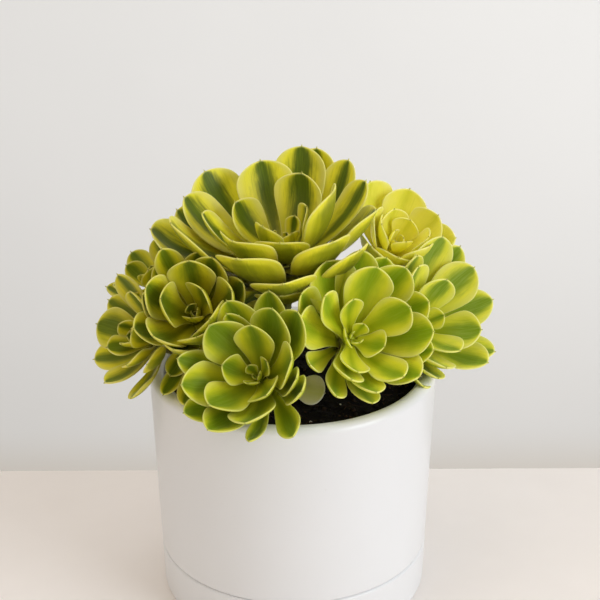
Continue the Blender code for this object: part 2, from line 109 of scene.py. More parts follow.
LEAF_BASE = 0.34  # half width at the leaf's foot, as a share of its widest
NIB_LENGTH = 1.1 * MM  # the point at the tip
NIB_RADIUS = 0.62 * MM
LARGE_GRID, SMALL_GRID = (26, 21), (17, 15)  # rows and columns of points
LARGE_ABOVE = 18 * MM  # leaves longer than this have the large grid
CURL_SWAY, TWIST_SWAY = 3, 7  # how far leaves differ
BEND_SWAY, TILT_SWAY = 0.03, 0.04  # and as shares of their size
CUP_SWAY = (0.85, 1.15)  # a factor on their cup
WAVE_HEIGHT = (0.01, 0.035)  # of their wavy edges, as a share of the half width
WAVE_PACE = 6.5
FOLD_SOFT = 0.012  # how round the fold along the midline is
TURN = 6.3  # about a full turn, in radians
BUD_LEAVES = 4
BUD_WIDTH = 0.36  # half width as a share of the length
BUD_STEEPER = 4  # each bud leaf is this much steeper than the last
STEEPEST = 88

# apex: the growing point, in mm from the rim's centre. lean: the axis's tilt towards +X and +Y. phase: the
# first leaf's direction. hand: 1 or -1, the way the spiral turns. joined: how many young leaves are one
# with the heart. length: the longest leaf's, in mm. share: the youngest leaf's length over that. rise: the
# slope of the youngest and the oldest leaves. growth and fade: over how many leaves the length and the
# slope settle. step: mm of stem between leaves. width: a leaf's half width over its length, for the
# youngest and the oldest leaf, and the power of the fall between them. droop: how many old leaves hang.
# root: where the stem leaves the soil, in mm. strays: the leaves off the spiral's rule, by number, each
# with its turn about the axis, its lift and a factor on its length. shapes: the leaves with a form of their
# own, each with a factor on its breadth, its roll about its length and a factor on its cup. What is left
# out is as usual.
Rosette = namedtuple(
    "Rosette",
    "apex lean phase hand leaves joined length share growth rise fade step width droop root strays shapes",
)

ROSETTES = {
    "crown": Rosette(
        (-4, 12, 58), (-4, -13), 314, 1, 29, 14, 65, 0.22, 6.7, (71, 37), 6.5, 0.63,
        (0.44, 0.265, 4), 0, (-8, 16),
        {1: (-35, -11, 0.85), 3: (-3, 8, 0.9), 4: (7, -9, 0.95), 5: (-10, -7), 6: (5, 3, 0.95),
         7: (-8, -5, 1.04), 8: (5, 15, 1.05), 9: (-6, 2), 10: (-13, 3), 11: (-3, -4),
         12: (-1, -4, 1.03), 13: (1, 3, 0.99), 14: (-4, 2, 1.05), 15: (-17, 1, 1.11),
         16: (-1, -2, 0.87), 17: (5, 0, 1.03), 18: (3, -6), 19: (-1, 5), 20: (0, -8, 1.12),
         21: (-5, 0, 0.99), 22: (93, -77, 0.45), 23: (12, 7), 24: (37, -103, 0.5), 25: (6, -9, 0.98),
         26: (-21, -8, 0.8), 27: (1, 6, 1.06), 28: (2, -4, 0.85)},
        {1: (0.65,), 7: (0.6,), 8: (1.05,), 10: (1, 0, 1.3), 11: (0.6,), 12: (0.9, 0, 0.8), 14: (0.85,),
         15: (1, 0, 0.8), 16: (1.3, -15, 1), 17: (1, 0, 0.6), 18: (1, 0, 1.3), 19: (0.65,),
         20: (0.95, 0, 0.7), 21: (0.85,), 22: (1.4,), 23: (1, 0, 1.3), 24: (1.3,), 27: (0.75,)}),
    "front_left": Rosette(
        (-16, -62, 22), (-21, -45), 33, 1, 22, 16, 41, 0.33, 3.4, (62, 43), 5.7, 0.61,
        (0.39, 0.17, 1), 0, (-9, -30),
        {0: (-5, -4), 2: (-3, -6), 3: (-7, 1), 4: (4, -4), 6: (-12, 3), 8: (7, 1), 10: (11, 4, 0.9),
         11: (0, -9, 0.98), 12: (-5, -1), 13: (21, 0, 1.05), 14: (8, -1), 15: (8, -12), 16: (4, -12),
         17: (0, -4), 18: (-14, 6), 19: (-16, 4, 0.9), 20: (8, 0), 21: (2, 1)},
        {10: (0.75,), 14: (0.8,), 15: (0.7,), 20: (0.63,)}),
    "front_right": Rosette(
        (30, -29, 27), (19, -52), 338, 1, 22, 16, 45.5, 0.4, 2.7, (60, 47), 5.5, 0.66,
        (0.29, 0.2, 1), 0, (24, -8),
        {0: (-6, -10), 2: (0, -4), 4: (-19, -1), 7: (26, 5), 9: (-15, -13, 0.96), 10: (0, 4),
         11: (9, 0, 1.05), 12: (-11, 1), 13: (-5, 3), 14: (-9, -3, 1.05), 15: (4, -1), 16: (8, 0),
         18: (-20, 1), 19: (0, -8), 20: (6, 4)},
        {0: (1.6,), 1: (0.85,), 2: (0.85,), 4: (0.75,), 5: (0.8,), 6: (1.1,), 7: (0.72,), 9: (1.3,),
         10: (0.74,), 15: (0.62,), 18: (0.75,), 20: (0.65,)}),
    "left": Rosette(
        (-48, -23, 37), (-7, -48), 266, 1, 22, 17, 37, 0.33, 1.5, (77, 53), 4.7, 0.72,
        (0.46, 0.23, 3), 3, (-36, -8),
        {4: (-7, -1), 5: (-5, -6), 7: (15, 4), 8: (0, 8), 9: (-4, 1), 10: (4, -7), 12: (0, -3, 1.11),
         13: (0, 5), 14: (-10, -1), 15: (0, 8), 16: (-62, -48, 0.71), 18: (26, -40, 1.02),
         20: (-8, 18, 0.9), 21: (-10, 52, 1.17)},
        {2: (0.95, 0, 1.2), 12: (0.75,), 18: (0.6,), 21: (0.6,)}),
    "right": Rosette(
        (65, 9, 16), (36, -41), 163, 1, 20, 16, 45.5, 0.44, 3.7, (66, 41), 5.5, 0.67,
        (0.36, 0.19, 1.5), 0, (46, 12),
        {1: (3, -14, 1.1), 2: (5, -3), 4: (-5, 0, 0.95), 7: (9, -3, 1.05), 10: (-4, 0, 1.15),
         11: (-4, -4), 12: (9, 0), 14: (-23, 5, 0.95), 15: (4, 0, 1.1), 16: (-8, -4, 0.9), 18: (0, 12)},
        {}),
    "far_left": Rosette(
        (-75, -15, 21), (-52, -35), 36, -1, 16, 13, 36, 0.32, 6.0, (81, 31), 6.4, 0.73,
        (0.38, 0.24, 2), 0, (-52, 4),
        {0: (0, 4, 0.9), 2: (0, 8, 0.9), 4: (0, 5, 0.9), 5: (0, -7, 1.05), 8: (8, 4), 10: (0, -2, 1.15),
         11: (-8, 4), 12: (5, -3)},
        {7: (1.4,), 10: (0.85,)}),
    "back_right": Rosette(
        (54, 39, 48), (18, -30), 285, 1, 14, 14, 38.5, 0.39, 4.9, (75, 45), 7.0, 0.69,
        (0.42, 0.35, 2), 0, (38, 38),
        {2: (-14, -7, 1.05), 4: (0, 3, 0.85), 5: (3, -9), 7: (6, 6, 0.95), 8: (0, 12), 12: (-4, 0, 1.1),
         13: (-12, 0, 0.9)},
        {}),
    "back_left": Rosette(
        (-69, 26, 33), (-32, -8), 100, 1, 13, 13, 32.5, 0.35, 4.0, (75, 40), 6.0, 0.7,
        (0.38, 0.24, 2), 0, (-48, 28),
        {9: (4, 0)}, {}),
}

FALLEN_FOOT, FALLEN_TIP = (-2, -34, 3.5), (16, -40, 2.5)  # in mm from the rim's centre
FALLEN_ROLL = 45  # how far it stands up on its front edge
FALLEN_BREADTH = 0.42  # half width as a share of its length

TABLE_HALF, TABLE_FRONT, TABLE_BACK, TABLE_THICK = 1.6, -2.0, 107 * MM, 0.03
BACKDROP_HALF, BACKDROP_AT, BACKDROP_LOW, BACKDROP_HIGH = 3, 1.3, -1, 3
BACKDROP_SHADE_HEIGHTS = (-0.73, -0.61)  # the heights between which painted shade darkens the backdrop downwards, towards the table

# How leaves are formed. curl: how far the blade bends in, in degrees. spoon: above 1, the bend gathers
# towards the tip. cup: how far the edges stand up. fold: how sharply the tip folds along its midline.
# point: 0 is a round tip, 1 a pointed one. widest: where along the blade it is widest.
Form = namedtuple("Form", "curl spoon cup fold point widest")

FORMS = {
    "crown": Form(21, 1.6, 0.36, 0.35, 0, 0.78),
    "front_left": Form(16, 1.7, 0.34, 0.5, 0.35, 0.7),
    "front_right": Form(15, 1.7, 0.34, 0.3, 0.1, 0.74),
    "left": Form(20, 1.7, 0.38, 0.3, 0.12, 0.74),
    "right": Form(15, 1.7, 0.32, 0.35, 0.15, 0.73),
    "far_left": Form(16, 1.7, 0.34, 0.3, 0.1, 0.74),
    "back_right": Form(18, 1.7, 0.38, 0.25, 0.05, 0.76),
    "back_left": Form(16, 1.7, 0.32, 0.3, 0.1, 0.74),
}

# Colours are eight-bit red, green and blue. stripe: the half width of a leaf's green middle over the leaf's
# own. soft: how gradually it ends. strength: how far it covers the margin. streak: how ragged it is.
# The third colour is painted shade: the dull tone a leaf fades to towards its foot, deep in the rosette.
Look = namedtuple("Look", "green bloom olive margin rim under stripe soft strength streak")

LOOKS = {
    "crown": Look(
        (66, 92, 0), (96, 122, 12), (126, 124, 0), (248, 238, 56), (240, 236, 164), (196, 194, 30),
        0.46, 0.26, 0.95, 0.6),
    "front_left": Look(
        (98, 130, 4), (144, 166, 72), (134, 142, 2), (226, 224, 42), (214, 218, 146), (182, 190, 32),
        0.54, 0.38, 0.9, 0.25),
    "front_right": Look(
        (132, 164, 8), (166, 190, 76), (174, 180, 4), (240, 238, 60), (232, 234, 164), (208, 214, 48),
        0.42, 0.38, 0.9, 0.25),
    "left": Look(
        (88, 114, 2), (124, 146, 50), (130, 128, 2), (234, 224, 42), (218, 216, 146), (178, 180, 28),
        0.48, 0.28, 0.92, 0.45),
    "right": Look(
        (112, 146, 30), (156, 180, 90), (172, 178, 12), (248, 244, 84), (238, 238, 170), (212, 218, 60),
        0.44, 0.28, 0.9, 0.45),
    "far_left": Look(
        (84, 108, 2), (120, 142, 48), (128, 126, 2), (238, 226, 48), (224, 220, 150), (176, 178, 30),
        0.48, 0.28, 0.92, 0.45),
    "back_right": Look(
        (206, 208, 34), (220, 220, 84), (246, 236, 14), (255, 248, 110), (252, 247, 176), (250, 242, 70),
        0.2, 0.32, 0.6, 0.4),
    "back_left": Look(
        (84, 108, 2), (120, 142, 48), (128, 126, 2), (222, 210, 40), (208, 206, 138), (168, 170, 28),
        0.46, 0.28, 0.92, 0.45),
}
FALLEN_LOOK = Look(
    (226, 230, 120), (238, 240, 160), (216, 218, 96), (252, 250, 196), (254, 252, 226), (244, 242, 150),
    0.45, 0.45, 0.7, 0.3)
NIB_BROWN = (104, 92, 44)
BARK_BROWN, BARK_GREEN, BARK_CRACK = (112, 100, 52), (140, 146, 78), (66, 50, 28)
EARTH_DARK, EARTH_LIGHT, EARTH_GRAIN = (10, 7, 6), (24, 17, 12), (62, 42, 28)
CRUMB_BLACK, CRUMB_BROWN, CRUMB_SPECK, PERLITE = (16, 12, 10), (74, 50, 32), (8, 6, 5), (206, 202, 194)
GLAZE_COOL, GLAZE_WHITE, GLAZE_SPECK = (233, 234, 236), (239, 240, 242), (206, 202, 196)
# The last colour is painted shade, low on the backdrop where it meets the table.
TABLE_COLOUR, BACKDROP_COLOUR, BACKDROP_SHADE_COLOUR = (254, 248, 244), (221, 221, 221), (209, 204, 197)
TONE_STEP = 5  # how much darker a painted surface's second tone is


# ---- node helpers


def linear(colour):
    """An eight-bit sRGB colour as the linear RGBA that a shader socket takes."""
    shares = [channel / 255 for channel in colour]
    return (*[((one + 0.055) / 1.055) ** 2.4 if one > 0.04045 else one / 12.92 for one in shares], 1)


class Graph:
    """Short ways to add and join a material's nodes."""

    def __init__(self, name):
        self.material = bpy.data.materials.new(name)
        self.material.use_nodes = True
        self.tree = self.material.node_tree
        self.shader = self.tree.nodes["Principled BSDF"]

    def link(self, source, socket):
        if hasattr(source, "is_output"):
            self.tree.links.new(source, socket)
        elif source is not None:
            socket.default_value = source

    def node(self, kind, **settings):
        made = self.tree.nodes.new(kind)
        for key, value in settings.items():
            setattr(made, key, value)
        return made

    def math(self, operation, first, second=None):
        made = self.node("ShaderNodeMath", operation=operation)
        self.link(first, made.inputs[0])
        self.link(second, made.inputs[1])
        return made.outputs[0]

    def plus(self, first, second):
        return self.math("ADD", first, second)

    def minus(self, first, second):
        return self.math("SUBTRACT", first, second)

    def times(self, first, second):
        return self.math("MULTIPLY", first, second)

    def step(self, value, start, end, low=0.0, high=1.0):
        """A smooth step: low up to start, high from end."""
        made = self.node("ShaderNodeMapRange", interpolation_type="SMOOTHSTEP")
        for number, source in enumerate((value, start, end, low, high)):
            self.link(source, made.inputs[number])
        return made.outputs[0]

    def mix(self, share, first, second):
        """Two colours mixed. Each is a socket or an eight-bit colour."""
        made = self.node("ShaderNodeMix", data_type="RGBA")
        self.link(share, made.inputs[0])
        for number, colour in ((6, first), (7, second)):
            self.link(linear(colour) if isinstance(colour, (tuple, list)) else colour, made.inputs[number])
        return made.outputs[2]

    def noise(self, vector, scale, detail=2, rough=0.5, distortion=0):
        """A noise texture. A scale of three numbers stretches it."""
        if isinstance(scale, tuple):
            stretched = self.node("ShaderNodeVectorMath", operation="MULTIPLY")
            self.link(vector, stretched.inputs[0])
            stretched.inputs[1].default_value = scale
            vector, scale = stretched.outputs[0], 1
        made = self.node("ShaderNodeTexNoise")
        self.link(vector, made.inputs["Vector"])
        made.inputs["Scale"].default_value = scale
        made.inputs["Detail"].default_value = detail
        made.inputs["Roughness"].default_value = rough
        made.inputs["Distortion"].default_value = distortion
        return made.outputs["Fac"]

    def place(self):
        return self.node("ShaderNodeTexCoord").outputs["Object"]

    def field(self, name):
        return self.node("ShaderNodeAttribute", attribute_name=name).outputs["Vector"]

    def parts(self, vector):
        """A vector's three components."""
        made = self.node("ShaderNodeSeparateXYZ")
        self.link(vector, made.inputs[0])
        return made.outputs

    def bump(self, height, distance, strength):
        made = self.node("ShaderNodeBump")
        made.inputs["Strength"].default_value = strength
        made.inputs["Distance"].default_value = distance
        self.link(height, made.inputs["Height"])
        self.set(Normal=made.outputs[0])

    def set(self, **values):
        for key, value in values.items():
            self.link(value, self.shader.inputs[key.replace("_", " ")])


# ---- materials


def leaf_material(name, look):
    """A variegated leaf: a streaky green middle, bright margins, a cream rim and a waxy bloom, with painted
    shade towards the foot and a painted highlight near the rims and tip.
    """
    graph = Graph(name)
    side, along, _ = graph.parts(graph.node("ShaderNodeUVMap", uv_map="leaf_uv").outputs[0])
    across = graph.math("ABSOLUTE", graph.minus(graph.times(side, 2), 1))
    place = graph.field("leaf_mm")
    edge, tip, under = graph.parts(graph.field("leaf_edge"))
    tint, _, _ = graph.parts(graph.field("leaf_tint"))

    streaks = graph.noise(place, (0.5, 0.06, 1), 5, 0.66, 0.5)
    threads = graph.noise(place, (1.6, 0.07, 1), 3, 0.6, 0.3)
    patches = graph.noise(place, (0.11, 0.06, 1))

    # How far the green reaches to the sides.
    reach = graph.step(along, 0.05, 0.75, 0.55 * look.stripe, look.stripe)
    for source, amount in ((streaks, look.streak), (patches, 0.35), (tint, 0.22)):
        reach = graph.plus(reach, graph.times(graph.minus(source, 0.5), amount))
    inner = graph.minus(reach, look.soft)
    outer = graph.plus(reach, look.soft)
    middle = graph.minus(1, graph.step(across, inner, outer))
    threads_in = graph.times(graph.step(threads, 0.56, 0.7), graph.step(across, 0.95, 0.35))
    middle = graph.math("MAXIMUM", middle, graph.times(threads_in, 0.5))
    middle = graph.times(middle, look.strength)

    # The green itself, with waxy grey streaks; towards the foot the green and the margin fade to a dull
    # tone, painted shade for the rosette's deep heart.
    waxy = graph.times(graph.step(threads, 0.4, 0.66), graph.step(along, 0.3, 0.7))
    waxy = graph.times(waxy, look.streak)
    green = graph.mix(waxy, look.green, look.bloom)
    foot = graph.step(along, 0.15, 0.8, 1, 0)
    green = graph.mix(graph.times(foot, 0.75), green, look.olive)
    margin = graph.mix(graph.times(foot, 0.6), look.margin, look.olive)
    lime = graph.times(graph.step(patches, 0.42, 0.62), 0.35)
    margin = graph.mix(lime, margin, look.under)
    # Paler towards the rims and the tip: a painted highlight for the gloss that whitens the brightly lit
    # margins.
    pale = graph.times(graph.step(across, 0.6, 1), graph.step(along, 0.3, 0.8, 0, 0.4))
    margin = graph.mix(pale, margin, look.rim)
    colour = graph.mix(middle, margin, green)

    inward = graph.plus(graph.step(edge, 0.5, 6), graph.times(streaks, 0.3))
    below = graph.mix(graph.step(inward, 0.2, 1.2), look.margin, look.under)
    below = graph.mix(graph.times(middle, 0.5), below, look.green)
    # the underside also fades towards its foot: painted shade
    below = graph.mix(graph.times(foot, 0.5), below, look.olive)
    colour = graph.mix(graph.times(under, 0.9), colour, below)
    rim = graph.step(edge, 0.1, 0.9, 0.4, 0)
    colour = graph.mix(rim, colour, look.rim)
    nib = graph.step(tip, 0.3, 1.3, 0.55, 0)
    colour = graph.mix(nib, colour, NIB_BROWN)
    graph.set(Base_Color=colour)

    rough = graph.plus(0.36, graph.times(patches, 0.12))
    rough = graph.plus(rough, graph.times(waxy, 0.1))
    graph.set(Roughness=rough)
    veins = graph.noise(place, (1.3, 0.1, 1), 3, 0.6)
    pores = graph.noise(place, 2.4, 2, 0.6)
    height = graph.plus(graph.times(veins, 0.8), graph.times(pores, 0.2))
    graph.bump(height, 0.35 * MM, 0.4)
    graph.set(Subsurface_Weight=0.3, Subsurface_Scale=0.004, Sheen_Weight=0.03, Sheen_Roughness=0.4)
    graph.set(Specular_IOR_Level=0.3)
    graph.shader.inputs["Subsurface Radius"].default_value = (0.8, 1, 0.25)
    return graph.material


def bark_material():
    graph = Graph("bark")
    place = graph.place()
    fibres = graph.noise(place, (900, 900, 160), 4, 0.6)
    blotches = graph.noise(place, 120, 3)
    colour = graph.mix(graph.step(blotches, 0.35, 0.65), BARK_BROWN, BARK_GREEN)
    colour = graph.mix(graph.step(fibres, 0.5, 0.75, 0, 0.6), colour, BARK_CRACK)
    graph.set(Base_Color=colour, Roughness=graph.step(fibres, 0.2, 0.8, 0.55, 0.8))
    graph.bump(fibres, 0.5 * MM, 0.8)
    return graph.material


def earth_material():
    graph = Graph("earth")
    place = graph.place()
    grains = graph.noise(place, 900, 5, 0.7)
    clods = graph.noise(place, 220, 4, 0.6)
    colour = graph.mix(graph.step(clods, 0.4, 0.7), EARTH_DARK, EARTH_LIGHT)
    colour = graph.mix(graph.step(grains, 0.6, 0.74, 0, 0.7), colour, EARTH_GRAIN)
    graph.set(Base_Color=colour, Roughness=graph.step(grains, 0.3, 0.7, 0.75, 0.95))
    graph.set(Specular_IOR_Level=0.15)
    height = graph.plus(graph.times(grains, 0.5), clods)
    graph.bump(height, 1.2 * MM, 0.9)
    return graph.material


def crumb_material():
    """The soil's loose bits, each in its own shade: black peat, brown fibre or white perlite."""
    graph = Graph("crumbs")
    shade, pale, _ = graph.parts(graph.field("bit_own"))
    place = graph.place()
    grains = graph.noise(place, 1500, 3, 0.6)
    colour = graph.mix(shade, CRUMB_BLACK, CRUMB_BROWN)
    colour = graph.mix(graph.step(grains, 0.45, 0.7, 0, 0.4), colour, CRUMB_SPECK)
    colour = graph.mix(pale, colour, PERLITE)
    graph.set(Base_Color=colour, Roughness=graph.step(grains, 0.3, 0.7, 0.7, 0.95), Specular_IOR_Level=0.2)
    graph.bump(grains, 0.4 * MM, 0.7)
    return graph.material


def glaze_material():
    """White glaze: glossy, faintly wavy, a little uneven in tone, with a few grey specks."""
    graph = Graph("glaze")
    place = graph.place()
    clouds = graph.noise(place, 14, 3)
    specks = graph.noise(place, 700)
    waves = graph.noise(place, (26, 26, 13))
    colour = graph.mix(clouds, GLAZE_COOL, GLAZE_WHITE)
    colour = graph.mix(graph.step(specks, 0.72, 0.8, 0, 0.25), colour, GLAZE_SPECK)
    graph.set(Base_Color=colour, Roughness=graph.step(clouds, 0.3, 0.7, 0.3, 0.36))
    graph.bump(waves, 0.4 * MM, 0.1)
    graph.set(Coat_Weight=0.15, Coat_Roughness=0.12)
    return graph.material


def stage_material(name, colour, fleck, painted_shade=None):
    """A plain painted surface with flecks of this pace. Where a shade colour is given, it fades to it low
    down: painted shade where the backdrop meets the table.
    """
    graph = Graph(name)
    place = graph.place()
    tone = graph.noise(place, fleck, 4)
    paint = graph.mix(tone, colour, [channel - TONE_STEP for channel in colour])
    # painted shade: the backdrop fades to the shade colour low down, by the table's edge
    if painted_shade:
        height = graph.parts(place)[2]
        paint = graph.mix(graph.step(height, *BACKDROP_SHADE_HEIGHTS), painted_shade, paint)
    graph.set(Base_Color=paint)
    graph.set(Roughness=graph.step(tone, 0.3, 0.7, 0.55, 0.7))
    graph.bump(tone, 0.2 * MM, 0.2)
    return graph.material


# ---- mesh helpers


def new_piece(name, points, faces, materials, fields=None, smooth=True, uv=None):
    """An object from points and faces. fields holds a vector for each point under an attribute's name."""
    mesh = bpy.data.meshes.new(name)
    mesh.from_pydata([tuple(point) for point in points], [], faces)
    for material in materials:
        mesh.materials.append(material)
    mesh.polygons.foreach_set("use_smooth", [smooth] * len(mesh.polygons))
    for key, values in (fields or {}).items():
        layer = mesh.attributes.new(key, "FLOAT_VECTOR", "POINT")
        layer.data.foreach_set("vector", np.asarray(values, np.float32).ravel())
    if uv is not None:
        layer = mesh.uv_layers.new(name="leaf_uv")
        corners = np.empty(len(mesh.loops), np.int32)
        mesh.loops.foreach_get("vertex_index", corners)
        layer.data.foreach_set("uv", np.asarray(uv, np.float32)[corners].ravel())
    mesh.update()
    made = bpy.data.objects.new(name, mesh)
    bpy.context.scene.collection.objects.link(made)
    return made


def kept_faces(faces):
    """The faces that still have an area once their repeated corners are gone."""
    cut = [[int(here) for number, here in enumerate(face) if here != face[number - 1]] for face in faces]
    return [face for face in cut if len(face) > 2]


def circle(radius, sides):
    """Places round the Z axis, starting on +X."""
    angles = [2 * math.pi * side / sides for side in range(sides)]
    return [(radius * math.cos(angle), radius * math.sin(angle)) for angle in angles]


def stand_for(piece, slot, *nodes):
    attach(piece, "root")
    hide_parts(*nodes)


def from_rim(x, y, z):
    """A point given in mm from the rim's centre."""
    return Vector((x * MM, y * MM, RIM_HEIGHT + z * MM))


def outer_radius(height):
    return RIM_RADIUS - TAPER * (RIM_HEIGHT - height)


# ---- leaves


def smooth(value, start, end):
    share = np.clip((value - start) / (end - start), 0, 1)
    return share * share * (3 - 2 * share)


def width_share(along, form):
    """The blade's half width along it, as a share of its widest."""
    rise = np.clip(along / form.widest, 0, 1)
    lower = LEAF_BASE + (1 - LEAF_BASE) * rise * rise * (3 - 2 * rise)
    fall = np.clip((along - form.widest) / (1 - form.widest), 0, 1)
    rounded = np.sqrt(np.clip(1 - fall**2.4, 0, None))
    pointed = np.sqrt(np.clip(1 - fall, 0, None)) * (1 - 0.35 * fall) * (1 + 0.5 * fall * (1 - fall))
    upper = (1 - form.point) * rounded + form.point * pointed
    return np.where(along < form.widest, lower, upper)


def leaf_faces(rows, columns):
    """How a leaf's points join: a top and an underside with one outline, and a closed foot."""
    top = np.zeros((rows, columns), int)
    top[1:] = 1 + np.arange((rows - 1) * columns).reshape(rows - 1, columns)
    below = top.copy()
    below[1:, 1:-1] = 1 + (rows - 1) * columns + np.arange((rows - 1) * (columns - 2)).reshape(rows - 1, -1)
    faces = []
    for row, column in np.ndindex(rows - 1, columns - 1):
        here, beside = (row, column), (row, column + 1)
        ahead, across = (row + 1, column), (row + 1, column + 1)
        faces.append([top[here], top[beside], top[across], top[ahead]])
        faces.append([below[here], below[ahead], below[across], below[beside]])
    for column in range(columns - 1):
        faces.append([top[-1, column], top[-1, column + 1], below[-1, column + 1], below[-1, column]])
    return kept_faces(faces)


LEAF_GRIDS = {size: leaf_faces(*size) for size in (LARGE_GRID, SMALL_GRID)}


def row_places(rows, length, nib, widest):
    """How far along the leaf each row of points lies, from the tip down."""
    spike = length + nib * np.array([1.0, 0.66, 0.33])
    round_rows = (rows - len(spike)) // 2 + 1
    turn = np.linspace(math.pi / 2, 0, round_rows + 1)[:-1]
    cap = length * (widest + (1 - widest) * np.sin(turn))
    blade = length * np.linspace(widest, 0, rows - len(spike) - round_rows)
    return np.concatenate([spike, cap, blade])


def distance_to_outline(x, s, half, stations):
    """The distance from each point of the flat leaf to its outline."""
    start = np.stack([half[:-1], stations[:-1]], -1)
    end = np.stack([half[1:], stations[1:]], -1)
    flat = np.stack([np.abs(x).ravel(), s.ravel()], -1)[:, None]
    run = end - start
    share = ((flat - start) * run).sum(-1) / np.maximum((run * run).sum(-1), 1e-18)
    nearest = start + np.clip(share, 0, 1)[..., None] * run
    return np.sqrt(((flat - nearest) ** 2).sum(-1)).min(-1).reshape(x.shape)


def leaf_mesh(foot, outward, upward, length, half_width, rise, form, rng):
    """The points and fields of one leaf. rise is the slope of its chord, in radians."""
    size = LARGE_GRID if length > LARGE_ABOVE else SMALL_GRID
    rows, columns = size
    outward, upward = np.array(outward), np.array(upward)
    sideways = np.cross(upward, outward)
    nib = NIB_LENGTH * min(1, length / (30 * MM))
    stations = row_places(rows, length, nib, form.widest)
    back = stations[0] - stations
    along = stations / length
    body = half_width * width_share(np.clip(along, 0, 1), form) * (along < 1)
    spike = NIB_RADIUS * np.clip(back / (1.6 * nib), 0, 1) ** 0.8
    half = np.sqrt(body**2 + spike**2)
    spread = np.linspace(-1, 1, columns)
    inset = (1 - np.abs(spread)) ** 1.9
    side = np.sign(spread) * (1 - inset)
    x = half[:, None] * side[None, :]
    s = np.repeat(stations[:, None], columns, 1)
    edge = distance_to_outline(x, s, half, stations)
    thickness = BLADE_THICKNESS * min(1, 0.5 + length / (60 * MM))
    rim = BLADE_ROUND * min(1, length / (24 * MM))
    profile = np.sqrt(np.clip(1 - (1 - np.clip(edge / rim, 0, 1)) ** 2, 0, 1))
    keel = 0.9 * thickness * (1 - (1 - np.clip(edge / (0.8 * half_width), 0, 1)) ** 2)
    keel = keel * (1 - 0.6 * along[:, None].clip(0, 1))

    curl = math.radians(form.curl + rng.uniform(-CURL_SWAY, CURL_SWAY))
    twist = math.radians(rng.uniform(-TWIST_SWAY, TWIST_SWAY))
    bend = rng.uniform(-BEND_SWAY, BEND_SWAY)
    wave, phase = rng.uniform(*WAVE_HEIGHT), rng.uniform(0, TURN)
    cup = form.cup * rng.uniform(*CUP_SWAY)
    tilt = rng.uniform(-TILT_SWAY, TILT_SWAY)

    v = along[:, None]
    slope = rise + curl * (v**form.spoon - 1)
    tangent = slope + np.arctan(curl * form.spoon * v**form.spoon)
    run = np.cos(slope)[..., None] * outward + np.sin(slope)[..., None] * upward
    face = -np.sin(tangent)[..., None] * outward + np.cos(tangent)[..., None] * upward
    turn = twist * v**2
    beside = np.cos(turn)[..., None] * sideways + np.sin(turn)[..., None] * face
    face = np.cos(turn)[..., None] * face - np.sin(turn)[..., None] * sideways
    share = np.abs(x) / half_width
    folded = np.sqrt(share**2 + FOLD_SOFT) - math.sqrt(FOLD_SOFT)
    sharp = form.fold * smooth(v, 0.35, 0.95) + 0.12
    lift = cup * ((1 - sharp) * share**1.9 + sharp * folded)
    lift = lift + wave * share**2 * np.sin(WAVE_PACE * v + phase + 1.5 * np.sign(side)[None, :])
    height = (lift + tilt * x / half_width) * half_width
    middle = np.array(foot) + length * v[..., None] * run
    middle = middle + (bend * length * v**2)[..., None] * sideways
    surface = middle + x[..., None] * beside + height[..., None] * face
    sink = thickness / 2
    top = surface - (sink * (1 - profile))[..., None] * face
    low = surface - (sink * (1 + profile) + keel * profile)[..., None] * face

    def gathered(upper, lower):
        return np.concatenate([upper[:1, 0], upper[1:].reshape(-1, *upper.shape[2:]),
                               lower[1:, 1:-1].reshape(-1, *lower.shape[2:])])

    seed = rng.uniform(0, 1)
    tint = rng.uniform(0, 1)
    ones = np.ones_like(x)
    field = np.stack([x / MM, s / MM, ones * seed * 90], -1)
    from_tip = np.hypot(x, back[:, None])
    upper_edges = np.stack([edge / MM, from_tip / MM, 0.5 * (1 - profile)], -1)
    lower_edges = np.stack([edge / MM, from_tip / MM, 0.5 + 0.5 * profile], -1)
    uv = np.stack([0.5 + 0.5 * side[None, :] * ones, along[:, None] * ones], -1)
    tints = np.stack([ones * tint] * 3, -1)
    return {
        "points": gathered(top, low),
        "faces": LEAF_GRIDS[size],
        "uv": gathered(uv, uv),
        "leaf_mm": gathered(field, field),
        "leaf_edge": gathered(upper_edges, lower_edges),
        "leaf_tint": gathered(tints, tints),
    }


def axes_of(rosette):
    """The rosette's own directions: across (towards +X), away (from the front) and its axis."""
    lean_x, lean_y = (math.radians(angle) for angle in rosette.lean)
    tilt = math.hypot(lean_x, lean_y)
    azimuth = math.atan2(lean_y, lean_x)
    flat = math.sin(tilt)
    axis = Vector((flat * math.cos(azimuth), flat * math.sin(azimuth), math.cos(tilt)))
    across = (Vector((1, 0, 0)) - axis.x * axis).normalized()
    return across, axis.cross(across), axis


def half_width_share(rosette, number):
    """A leaf's half width as a share of its length: leaves grow relatively narrower with age."""
    young, old, power = rosette.width
    return old + (young - old) * (1 - number / (rosette.leaves - 1)) ** power


def filled(given, usual):
    """The given values, then the usual ones for what is left out."""
    return (*given, *usual[len(given):])


def rolled(upward, outward, degrees):
    """The leaf's upward direction turned about its length."""
    return Matrix.Rotation(math.radians(degrees), 3, outward) @ upward


def heading(rosette, number, turn=0):
    """Which way the leaf points, and the rosette's axis."""
    across, away, axis = axes_of(rosette)
    azimuth = math.radians(rosette.phase + turn) + rosette.hand * GOLDEN_ANGLE * number
    return math.cos(azimuth) * across + math.sin(azimuth) * away, axis


def bud_leaf(name, rosette, number):
    """One of the tiny leaves, numbered from -1 down, that close the heart."""
    outward, axis = heading(rosette, number)
    share = 1 + number / (BUD_LEAVES + 2)
    length = rosette.length * rosette.share * share * MM
    foot = from_rim(*rosette.apex) + 0.4 * MM * axis + LEAF_ROOT * 0.8 * share * outward
    rise = math.radians(min(STEEPEST, rosette.rise[0] - BUD_STEEPER * number))
    rng = random.Random(f"{name} bud {number}")
    return leaf_mesh(foot, outward, axis, length, length * BUD_WIDTH, rise, FORMS[name], rng)


